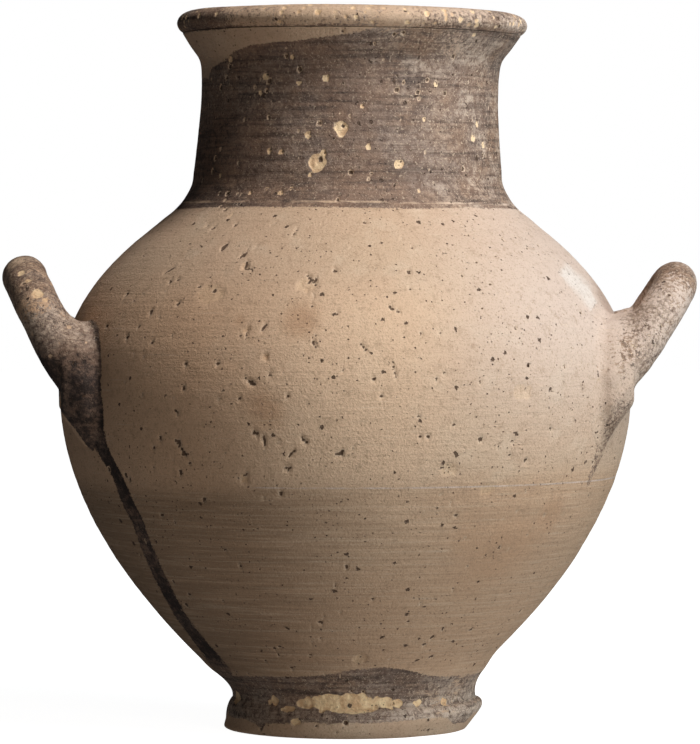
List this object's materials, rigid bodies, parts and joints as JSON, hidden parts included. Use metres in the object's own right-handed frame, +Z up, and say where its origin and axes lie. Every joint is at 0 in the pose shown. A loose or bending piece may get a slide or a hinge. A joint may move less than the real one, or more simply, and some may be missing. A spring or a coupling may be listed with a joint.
{
  "type": "belly-handled neck amphora",
  "caption": "Fired clay storage jar with a wide offset neck, rolled lip, egg-shaped body, ring foot and two canted loop handles on the belly.",
  "frame": {"origin": "on the resting plane, midway between the outer ends of the two handles and midway between front and back", "axes": "+Z up along the pot's axis; +X to the picture's right, from handle to handle; +Y away from the picture's viewer"},
  "size_m": [0.2768, 0.2282, 0.2862],
  "materials": {
    "bare_clay": "unglazed fired clay, pinkish tan, pitted and finely turned",
    "dark_slip": "brushed dark brown slip, matt, rubbed and chipped",
    "worn_lip": "slip worn through to cream clay, speckled",
    "handle_slip": "dark slip worn to the clay in specks",
    "banded_foot": "dark slip band over reserved reddish clay, chipped"
  },
  "bodies": {
    "root": {"foot_ring": "banded_foot", "foot_fillet": "banded_foot", "lower_body": "bare_clay", "upper_body": "bare_clay", "neck_fillet": "dark_slip", "neck": "dark_slip", "lip_bead": "worn_lip", "left_handle": "handle_slip", "left_front_root_pad": "handle_slip", "left_back_root_pad": "handle_slip", "right_handle": "handle_slip", "right_front_root_pad": "handle_slip", "right_back_root_pad": "handle_slip"}
  },
  "joints": []
}
